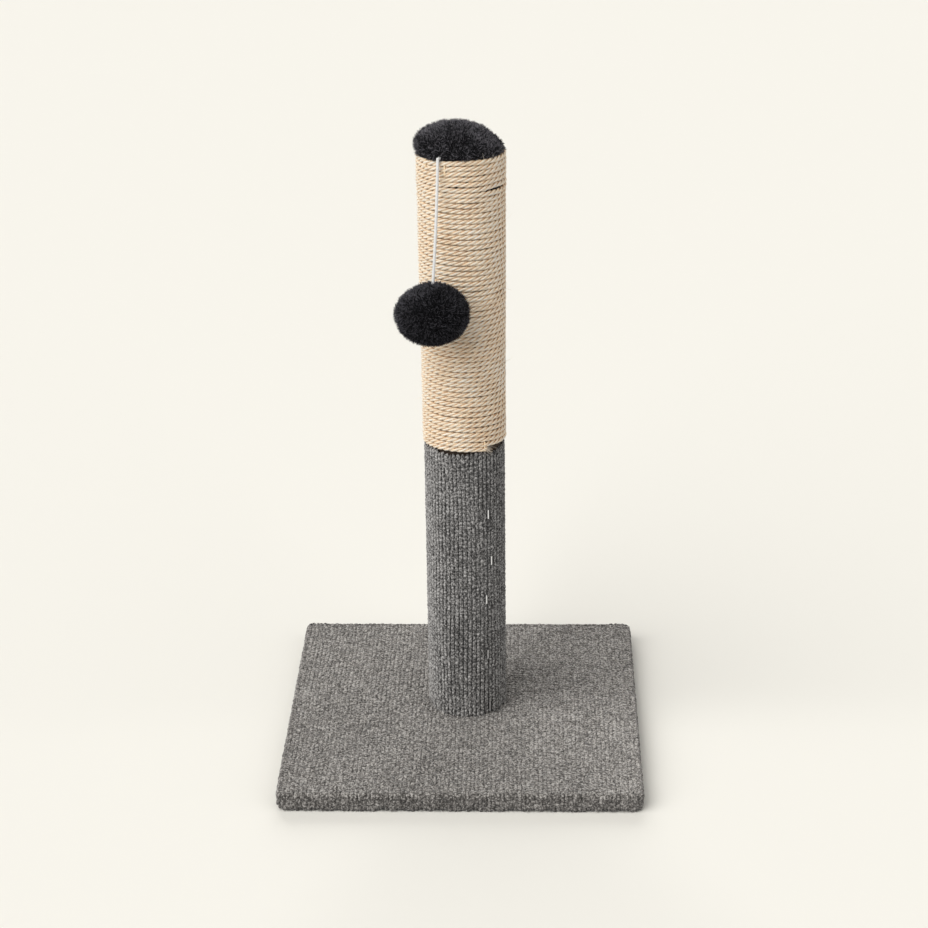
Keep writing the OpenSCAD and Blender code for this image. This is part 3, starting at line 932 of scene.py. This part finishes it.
# Frayed end of the rope, and single hairs that stick out
fray = {
    "count": 46,
    "length": (2.5 * mm, 8.0 * mm),
    "girth": (0.06 * mm, 0.11 * mm),
    "spread": 1.9 * mm,  # how far from the rope's middle the ends start
    "start": 0.8 * mm,  # and how far back from the cut
    "steps": 6,
    "seed": 23,
    "hairStart": 1.4 * mm,  # outside the rope's middle line
    # Single hairs: direction, drop below the tube's top, sideways reach, upward reach, outward reach
    "hairs": [(38, 2, 5, 6, 2), (41, 3, 9, 2, 3), (33, 1, -3, 7, 2), (55, 20, 6, 3, 4), (28, 244, 7, -4, 3),
              (24, 243, 5, -7, 3), (36, 243, 8, -3, 2), (-60, 77, -6, 3, 5), (70, 112, 5, -3, 6),
              (-75, 207, -4, -4, 6), (80, 177, 4, 4, 6), (-20, 157, 5, 3, 4), (12, 207, 6, -3, 4),
              (-84, 37, -3, 5, 5), (86, 57, 3, 4, 5)],
}


def hairLine(start, aside, rise, out, girth):
    line = []
    for i in range(fray["steps"] + 1):
        t = i / fray["steps"]
        bent = Vector((0, 0, rise)) * t * (0.4 + 0.6 * t) + out * math.sin(1.6 * t)
        line.append((start + aside * t + bent, girth * (1 - 0.6 * t)))
    return line


def makeFray(settings):
    rng = random.Random(settings["seed"])
    middle, out = ropePoint(0), awayFromPost(rope["footAngle"])
    tangent = (middle - ropePoint(0.004)).normalized()
    lines = []
    for i in range(settings["count"]):
        turn, reach = rng.uniform(0, 2 * math.pi), settings["spread"] * math.sqrt(rng.random())
        start = middle - tangent * settings["start"] + out * reach * math.cos(turn)
        start += Vector((0, 0, reach * math.sin(turn)))
        length = rng.uniform(*settings["length"])
        aside = (tangent + out * rng.uniform(-0.1, 0.35)) * length * rng.uniform(0.5, 1)
        rise, outward = -length * rng.uniform(-0.15, 0.7), out * length * rng.uniform(0, 0.25)
        lines.append(hairLine(start, aside, rise, outward, rng.uniform(*settings["girth"])))
    for angle, drop, aside, rise, outward in settings["hairs"]:
        turn = math.radians(angle)
        side = Vector((math.cos(turn), math.sin(turn), 0)) * aside * mm
        start = onPost(ropeRadius(drop * mm) + settings["hairStart"], angle, tubeTop - drop * mm)
        girth = rng.uniform(*settings["girth"]) * 1.1
        lines.append(hairLine(start, side, rise * mm, awayFromPost(angle) * outward * mm, girth))
    place(sweepLines("ropeFray", lines, 4, sisalFibre), "stand", "sisal")


makeFray(fray)
print("rope made")


# Plush: short curly pile on the cap and the ball
def tuftTree():
    graph, given = geometryTree("plushPile", {
        "spacing": 0.9 * mm, "tuftLength": 1.6 * mm, "tuftWidth": 0.6 * mm, "tuftLean": 1.0, "seed": 1})
    spacing, seed = given["spacing"], given["seed"]
    places = {"Mesh": given["Geometry"], "Distance Min": spacing, "Density Max": 3.0 / (spacing * spacing),
              "Density Factor": graph.stored("pile"), "Seed": seed}
    points = graph.node("GeometryNodeDistributePointsOnFaces", places, distribute_method="POISSON")
    swirl = graph.noise(graph.node("GeometryNodeInputPosition"), 190.0, 1.0, 0.5, "Color")
    lean = graph.scaled(graph.vector("SUBTRACT", swirl, (0.5, 0.5, 0.5)), given["tuftLean"] * 6.0)
    grow = graph.vector("NORMALIZE", graph.vector("ADD", points.other("Normal"), lean))
    share = graph.node("GeometryNodeSplineParameter")
    path = graph.store(graph.arc(2, (0, 0, -0.15), (0, 0, 0.3), (0.1, 0, 0.8), (0.5, 0.1, 1.0)), "tip", share)
    tuft = graph.sweep(path, graph.ring(3, 0.2), 1 - share * 0.75)
    aside = graph.combined(*[graph.spread(-1, 1, seed + number) for number in (1, 2, 3)])
    width = given["tuftWidth"] * graph.spread(0.8, 1.5, seed + 4) * 2.0
    size = graph.combined(width, width, given["tuftLength"] * graph.spread(0.6, 1.2, seed + 5))
    tufts = graph.strew(points, tuft, graph.facing(grow, aside), size)
    tufts = graph.store(tufts, "shade", graph.spread(0.0, 1.0, seed + 6), domain="INSTANCE")
    joined = graph.node("GeometryNodeJoinGeometry")
    for part in (tufts, given["Geometry"]):
        graph.tree.links.new(part.socket, joined.socket.node.inputs[0])
    return closeTree(graph, joined, given["Finish"])


plushPile = tuftTree()


def plushFinish(name, dark, light, sheen):
    material, graph, spot = newFinish(name)
    curls = graph.noise(spot, 600.0, 2.0, 0.6)
    patches = graph.noise(spot, 90.0, 1.0)
    brushed = graph.attribute("brushed")
    tone = graph.attribute("shade") * 1.3 + graph.attribute("tip") * 0.4 + curls * 3.2 + patches * 0.7 - 2.68
    # Painted sheen: the pile is painted paler where the attribute is high
    tone = tone * (brushed * 0.8 + 1) + brushed * 0.55
    closeFinish(graph, {"Base Color": graph.ramp(tone, [(0.0, dark), (1.0, light)]), "Roughness": 0.8,
                        "Normal": graph.bump(curls, 0.6, 0.4 * mm), "Specular IOR Level": 0.03,
                        "Sheen Weight": sheen, "Sheen Roughness": 0.4, "Sheen Tint": (0.55, 0.55, 0.6, 1.0)})
    return material


def growPlush(mesh, settings, outside, brushed):  # outside holds the numbers of the points that bear pile
    setAttribute(mesh, "pile", [1.0 if vertex.index in outside else 0.0 for vertex in mesh.vertices])
    setAttribute(mesh, "brushed", [brushed(vertex.co) for vertex in mesh.vertices])
    return growPiece(mesh.name, mesh, plushPile, {**settings, "Finish": plushFinish(*settings["plush"])})


# Cap: the plush over the padding, and its skirt under the rope
cap = {
    "power": 2.0,
    "footRadius": 34.5 * mm,
    "foot": 0.7 * mm,  # how high over the tube's top the dome starts
    "topSink": 0.5 * mm,  # how far the plush's ground lies under the tips of the pile
    "skin": 1.0 * mm,
    "skirtOut": 0.8 * mm,
    "skirt": 0.7 * mm,
    "skirtBend": 8 * mm,  # how far under the tube's top the skirt begins to follow the rope's edge
    "edge": (-6 * mm, 0),  # and the heights over the tube's top between which it comes to do so
    "footShift": 0.5 * mm,
    # Amounts that grow between two heights over the tube's top
    "lean": (5.4 * mm, 2 * mm, 14 * mm),  # how far the dome leans to the left
    "rightPull": (2.4 * mm, 0, 4 * mm),  # how far its right side is drawn in low down
    "pullEnd": (8 * mm, 14 * mm),  # the heights between which that ends
    "lumps": (0.9 * mm, 0, 8 * mm),
    "lumpScale": 62,
    "lumpLift": 0.6,
    "edgeTilt": 0.75,  # how much of the tilt of the rope's upper edge the plush takes up
    "turns": 96,
    "steps": 16,
    "spacing": 0.8 * mm,
    "tuftLength": 2.6 * mm,
    "tuftWidth": 0.65 * mm,
    "tuftLean": 1.0,
    # Painted sheen: where the pile is painted paler, as where light falls on it: place from the post's
    # middle, reach, amount
    "brushed": [(18 * mm, -12 * mm, 9 * mm, 1.0), (26 * mm, -6 * mm, 7 * mm, 0.6),
                (-24 * mm, -5 * mm, 9 * mm, 0.8), (0, 16 * mm, 15 * mm, 0.9), (-17 * mm, 3 * mm, 9 * mm, 0.7),
                (13 * mm, 3 * mm, 10 * mm, 0.9)],
    "seed": 7,
    "plush": ("capPlush", (0.0045, 0.0044, 0.005), (0.21, 0.20, 0.215), 0.3),
}
capLow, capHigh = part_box("plush_cap")


def domePoint(share, radius, foot, height):
    rise = math.sin(math.pi / 2 * share)
    return radius * (1 - rise ** cap["power"]) ** (1 / cap["power"]), foot + height * rise


def atCap(radius, angle, height):
    rise = height - tubeTop
    edge = smoothStep(rise, *cap["edge"])
    pull = grown(cap["rightPull"], rise) * max(0, sideways(angle)) * (1 - smoothStep(rise, *cap["pullEnd"]))
    spot = onPost(radius, angle, height)
    lump = noise.noise(spot * cap["lumpScale"] + Vector((3.1, 0, 0))) * grown(cap["lumps"], rise)
    spot += awayFromPost(angle) * lump
    tilt = cap["edgeTilt"] * ropeTilt(angle, 0) * edge * (radius / cap["footRadius"]) ** 2
    spot.z += cap["lumpLift"] * lump + tilt
    return spot + Vector((-grown(cap["lean"], rise) - pull - cap["footShift"] * edge, 0, 0))


def makeCap(settings):
    wide, skin, steps, turns = settings["footRadius"], settings["skin"], settings["steps"], settings["turns"]
    skirtOut = tubeRadius + settings["skirtOut"]
    skirtIn = skirtOut - settings["skirt"]
    foot, top = tubeTop + settings["foot"], capHigh.z - settings["topSink"]
    bend = tubeTop - settings["skirtBend"]
    skirt = [(skirtOut, capLow.z), (skirtOut, bend), (skirtOut, tubeTop - 0.5 * mm),
             (wide - 1.2 * mm, foot - 0.6 * mm)]
    outer = [domePoint(i / steps, wide, foot, top - foot) for i in range(steps)]
    inner = [domePoint(i / steps, wide - skin, foot + skin, top - foot - 2 * skin) for i in range(steps)]
    profile = skirt + outer + [(0, top), (0, top - skin)] + inner[::-1]
    profile += [(skirtIn, foot + skin), (skirtIn, bend), (skirtIn, capLow.z)]
    first = len(skirt) * turns

    def brushed(spot):
        x, y = spot.x - postX, spot.y - postY
        return sum(amount * math.exp(-((x - px) ** 2 + (y - py) ** 2) / reach ** 2)
                   for px, py, reach, amount in settings["brushed"])

    mesh = turnedShell("plushCap", profile, turns, atCap)
    plush = growPlush(mesh, settings, range(first, first + steps * turns + 1), brushed)
    piece = place(plush, "stand", "plush", "plush_cap")


makeCap(cap)

# String's line at rest: from where it leaves the plush, down through the ball
spin = next(joint for joint in frame["joints"] if joint["name"] == "ball_spin")
pivot = Vector(spin["pos_m"])
down = Vector(spin["axis"]).normalized()
across = down.cross(Vector((0, 1, 0))).normalized()
forward = across.cross(down)

# Padding under the plush, pressed round the held end of the string
padding = {
    "gap": 0.5 * mm,
    "side": 4.5 * mm,
    "lift": 0.4 * mm,
    "groove": 3.6 * mm,
    "grooveWidth": 3.2 * mm,
    "steps": 12,
    "footSteps": 22,
}


def makePadding(settings):
    exitTurn = math.atan2(pivot.x - postX, -(pivot.y - postY))
    tailWay = Vector((math.sin(exitTurn), -math.cos(exitTurn), 0))
    skin = cap["skin"] + settings["gap"]
    foot, roof = tubeTop + settings["lift"], tubeTop + cap["foot"]
    height = capHigh.z - cap["topSink"] - roof - 1.6 * skin
    start = math.asin(settings["side"] / height) / (math.pi / 2)
    steps, footSteps = settings["steps"], settings["footSteps"]
    shares = [start + (1 - start) * i / steps for i in range(steps)]
    dome = [domePoint(share, cap["footRadius"] - skin, roof, height) for share in shares]
    floor = [(dome[0][0] * i / footSteps, foot) for i in range(footSteps + 1)]

    def at(radius, angle, height):
        spot = atCap(radius, angle, height)
        if height <= foot + 0.01 * mm:
            flat = Vector((spot.x - postX, spot.y - postY, 0))
            along = flat.dot(tailWay)
            aside = flat.length if along < 0 else (flat - tailWay * along).length
            spot.z = foot + settings["groove"] * math.exp(-(aside / settings["grooveWidth"]) ** 4)
        return spot

    mesh = turnedShell("topPadding", floor + dome + [(0, roof + height)], cap["turns"], at)
    mesh.materials.append(waddingFinish("foam", (0.62, 0.60, 0.55)))
    piece = place(addObject("topPadding", mesh), "stand", "wadding", "top_padding")


makePadding(padding)
print("cap made")

# Ball: it hangs on the string's line and turns about it
ball = {
    "wide": 29.3 * mm,  # half its width
    "tall": 24.6 * mm,  # half its height
    "skin": 2.0 * mm,
    "sink": 0.8 * mm,  # how far the plush's ground lies under the pile's tips
    "hole": 1.6 * mm,
    "lumps": 0.7 * mm,
    "lumpScale": 55,
    "still": (10 * mm, 20 * mm),  # the uneven form grows between these distances from the middle
    "turns": 72,
    "steps": 24,
    "spacing": 0.8 * mm,
    "tuftLength": 2.6 * mm,
    "tuftWidth": 0.65 * mm,
    "tuftLean": 0.9,
    "flat": 1.7 * mm,  # the ball is flattened this much on one side
    "flatSide": (-0.6, -0.2, 0.77),
    "drop": -0.2 * mm,
    # Painted sheen: where the pile is painted paler, as on its lit rims: direction from the middle, amount
    "brushed": [((-0.5, 0.2, 0.85), 1.6), ((-1.0, 0.0, 0.0), 0.7), ((1.0, -0.1, 0.1), 0.4)],
    "seed": 19,
    "plush": ("ballPlush", (0.004, 0.004, 0.0046), (0.10, 0.097, 0.108), 0.12),
}
coverLow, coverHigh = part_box("ball_cover")
ballCentre = pivot + down * (((coverLow + coverHigh) / 2 - pivot).dot(down))


def towards(way, direction, low):  # 1 where a way points in a direction, 0 where it is far off
    return smoothStep(way.dot(Vector(direction).normalized()), low, 1.0)


def atBall(radius, angle, height):  # height runs up the string from the middle of the ball
    turn = math.radians(angle)
    side = across * math.sin(turn) - forward * math.cos(turn)
    spot = side * radius - down * height
    way = spot.normalized()
    lump = noise.noise(spot * ball["lumpScale"] + Vector((0, 7.7, 0))) * ball["lumps"]
    press = ball["flat"] * towards(way, ball["flatSide"], 0.55)
    uneven = way * (lump - press) * smoothStep(spot.length, *ball["still"])
    return ballCentre + down * ball["drop"] + spot + uneven


def ballArc(sink, hole, steps):  # from the string's hole down to the pole, this far under the pile's tips
    wide, tall = ball["wide"] - sink, ball["tall"] - sink
    start = math.asin(hole / wide)
    turns = [start + (math.pi - start) * i / steps for i in range(steps)]
    return [(wide * math.sin(turn), tall * math.cos(turn)) for turn in turns] + [(0, -tall)]


def makeBall(settings):
    steps, turns = settings["steps"], settings["turns"]
    outer, inner = [ballArc(settings[name], settings["hole"], steps) for name in ("sink", "skin")]
    mesh = turnedShell("ballCover", inner + outer[::-1], turns, atBall)

    def brushed(spot):
        way = (spot - ballCentre).normalized()
        return sum(amount * towards(way, side, 0.45) for side, amount in settings["brushed"])

    plush = growPlush(mesh, settings, range(steps * turns + 1, len(mesh.vertices)), brushed)
    piece = place(plush, "ball", "plush", "ball_cover")


def reachAlong(name, origin, way):  # where a node starts and ends along a line
    spans = [(vertex.co - origin).dot(way) for vertex in nodes[name].data.vertices]
    return min(spans), max(spans)


core = {"gap": 0.5 * mm, "bore": 1.6 * mm, "chamber": 3.6 * mm, "knotGap": 0.5 * mm, "steps": 18, "turns": 48}


def makeCore(settings):
    knotStart, knotEnd = reachAlong("string_knot", pivot, down)
    centre = (ballCentre - pivot).dot(down)
    roof, floor = centre - knotStart + settings["knotGap"], centre - knotEnd - settings["knotGap"]
    bore, chamber = settings["bore"], settings["chamber"]
    outer = ballArc(ball["skin"] + settings["gap"], bore, settings["steps"])
    inner = [(0, floor), (chamber, floor), (chamber, roof), (bore, roof)]
    mesh = turnedShell("ballFilling", (outer + inner)[::-1], settings["turns"], atBall)
    mesh.materials.append(waddingFinish("wadding", (0.70, 0.70, 0.68)))
    place(addObject("ballFilling", mesh), "ball", "wadding", "ball_core")


makeBall(ball)
makeCore(core)
print("ball made")

# String: the held end under the plush, the short end at the pivot, the hanging length and its knot
string = {
    "diameter": 2.4 * mm,
    "bow": 0.5 * mm,  # how far the hanging length bows out to the right
    "step": 1.5 * mm,
    "sides": 14,
    "knotRadius": 2.9 * mm,
    "knotSides": 16,
    "knotSteps": 12,
    "knotGap": 0.05 * mm,
    "colours": ((0.70, 0.69, 0.66), (0.90, 0.89, 0.87)),
    "yarns": (2600.0, 2600.0, 900.0),  # how fine they are each way
}


def roundEnd(radius):  # distances before the end's middle, and the girths there
    turns = [math.pi / 14 * i for i in range(8)]
    return [(-radius * math.cos(turn), max(0.02 * mm, radius * math.sin(turn))) for turn in turns]


def makeString(settings):
    finish = feltFinish("string", (1.0, 2.0, 0.6), settings["colours"], 0.75, (0.6, 0.3 * mm),
                        settings["yarns"])
    radius, sides = settings["diameter"] / 2, settings["sides"]
    knotStart, knotEnd = reachAlong("string_knot", pivot, down)
    free = reachAlong("ball_cover", pivot, down)[0]

    def hung(along):
        bow = settings["bow"] * math.sin(math.pi * min(1, max(0, along / free)))
        return pivot + down * along + across * bow

    count = round(knotStart / settings["step"])
    path = [hung(knotStart * i / count) for i in range(count + 1)]
    line = [(hung(along), girth) for along, girth in roundEnd(radius)[:-1]]
    line += [(point, radius) for point in path]
    piece = place(sweepLines("hangingString", [line], sides, finish), "string_run", "string", "string")
    turns = []
    for i in range(settings["knotSteps"] + 1):
        share = i / settings["knotSteps"]
        girth = max(0.02, math.sin(math.pi * share)) ** 0.5 * (1 + 0.08 * math.sin(9 * share))
        along = knotStart + (knotEnd - knotStart) * share + settings["knotGap"]
        turns.append((pivot + down * along, settings["knotRadius"] * girth))
    knot = sweepLines("stringKnot", [turns], settings["knotSides"], finish)
    place(knot, "string_run", "string", "string_knot")

    axis = Vector((postX, postY, pivot.z))
    reach, out = (pivot - axis).length, (pivot - axis).normalized()
    rootStart = reachAlong("string_root", axis, out)[0]
    stub = [(pivot - out * along, girth) for along, girth in roundEnd(radius)]
    stub += [(axis + out * (reach + (rootStart - reach) * i / 4), radius) for i in range(1, 5)]
    place(sweepLines("stringRoot", [stub], sides, finish), "swivel", "string", "string_root")
    tailStart, tailEnd = reachAlong("string_tail", axis, out)
    tail = [(axis + out * (tailStart + (tailEnd - tailStart) * i / 16), radius) for i in range(17)]
    place(sweepLines("stringTail", [tail], sides, finish), "stand", "string", "string_tail")
    [list(point) for point in path]


makeString(string)
print("string made")


# Hard parts: the CAD's own solids, each with its finish
def steelFinish(name, colour, roughness):
    material, graph, spot = newFinish(name)
    scratches = graph.noise(spot, 700.0, 2.0, 0.6)
    closeFinish(graph, {"Base Color": opaque(colour), "Metallic": 1.0,
                        "Roughness": scratches * 0.25 + roughness,
                        "Normal": graph.bump(scratches, 0.15, 0.1 * mm)})
    return material


def cardFinish():
    material, graph, spot = newFinish("tubeCard")
    fibres = graph.noise(spot, 500.0, 3.0, 0.6)
    height = graph.node("ShaderNodeSeparateXYZ", {0: spot}, "Z")
    # Painted shade: a near-black ring on the card where it shows in the gap under the rope's foot
    paintedGapShade = graph.softStep(graph.math("ABSOLUTE", height - ropeLow + 5 * mm), 7.0 * mm, 9.0 * mm, 1.0, 0.0)
    card = graph.mix(fibres, (0.30, 0.18, 0.09), (0.50, 0.33, 0.19))
    closeFinish(graph, {"Base Color": graph.mix(paintedGapShade, card, (0.028, 0.016, 0.008)), "Roughness": 0.85,
                        "Normal": graph.bump(fibres, 0.4, 0.2 * mm)})
    return material


def woodFinish(name, dark, light, stretch, scale):
    material, graph, spot = newFinish(name)
    grain = graph.noise(graph.vector("MULTIPLY", spot, stretch), scale, 4.0, 0.65)
    closeFinish(graph, {"Base Color": graph.ramp(grain, [(0.25, dark), (0.75, light)]), "Roughness": 0.75,
                        "Normal": graph.bump(grain, 0.4, 0.3 * mm)})
    return material


def dressNodes(slot, finish, *names):
    for name in names:
        nodes[name].data.materials.clear()
        nodes[name].data.materials.append(finish)


dressNodes("steel", steelFinish("steel", (0.78, 0.78, 0.80), 0.2), "hem_staples", "mounting_bolt",
           "bolt_washer", "tee_nut", "plug_staples", "seam_staples", "string_staple")
dressNodes("steel", steelFinish("brassedSteel", (0.86, 0.70, 0.50), 0.4), "rope_staples")
dressNodes("tube_card", cardFinish(), "post_tube")
plugWood = woodFinish("plugWood", (0.36, 0.22, 0.11), (0.62, 0.44, 0.26), (1.0, 1.0, 0.12), 300.0)
dressNodes("plug_wood", plugWood, "bottom_plug", "top_plug")
chipboard = woodFinish("chipboard", (0.20, 0.13, 0.07), (0.48, 0.35, 0.22), (1.0, 1.0, 1.0), 420.0)
dressNodes("board", chipboard, "base_board")
print("hard parts finished")

# Stage and light
stage = {
    "size": 9.0,  # half the floor's width, in metres
    "floor": (0.8686, 0.8442, 0.7748),
    "horizon": 1.088,  # the sky behind it is this much brighter, as the lit floor is
    "bounce": 0.45,  # how bright the floor is to the light that it throws back
    "sky": 0.20,
    "lamps": {  # where each one stands, the light that it gives the floor, how wide it is
        "window": ((-0.58, -0.48, 0.61), 0.55, 60),
        "fill": ((0.80, -0.45, 0.50), 0.115, 60),
        "rim": ((-0.10, 0.87, 0.42), 0.22, 50),
    },
}


def shownColour(graph, plain, seen):  # the first lights the object, the second is seen
    rays = graph.node("ShaderNodeLightPath")
    mask = graph.math("MAXIMUM", rays, rays.other("Is Glossy Ray"))
    mask = graph.math("MAXIMUM", mask, rays.other("Is Transmission Ray"))
    return graph.mix(mask, (plain, plain, plain), seen)


def makeStage(settings):
    size = settings["size"]
    corners = [(-size, -size, 0), (size, -size, 0), (size, size, 0), (-size, size, 0)]
    mesh = makeMesh("floor", corners, [(0, 1, 2, 3)])
    addObject("floor", mesh)
    material = bpy.data.materials.new("paleFloor")
    graph = emptyTree(material)
    colour = shownColour(graph, settings["bounce"], settings["floor"])
    shader = graph.node("ShaderNodeBsdfDiffuse", {"Color": colour})
    graph.node("ShaderNodeOutputMaterial", {"Surface": shader})
    mesh.materials.append(material)
    world = bpy.data.worlds.new("studio")
    graph = emptyTree(world)
    behind = [part * settings["horizon"] for part in settings["floor"]]
    colour = shownColour(graph, settings["sky"], behind)
    shader = graph.node("ShaderNodeBackground", {"Color": colour, "Strength": 1.0})
    graph.node("ShaderNodeOutputWorld", {"Surface": shader})
    bpy.context.scene.world = world
    for name, (stands, level, width) in settings["lamps"].items():
        way = Vector(stands).normalized()
        lamp = bpy.data.lights.new(name, "SUN")
        lamp.energy = math.pi * level / way.z
        lamp.angle = math.radians(width)
        lampObject = addObject(name, lamp)
        lampObject.rotation_mode = "QUATERNION"
        lampObject.rotation_quaternion = way.to_track_quat("Z", "Y")
    bpy.context.scene.view_settings.view_transform = "Standard"


makeStage(stage)
print("stage made")
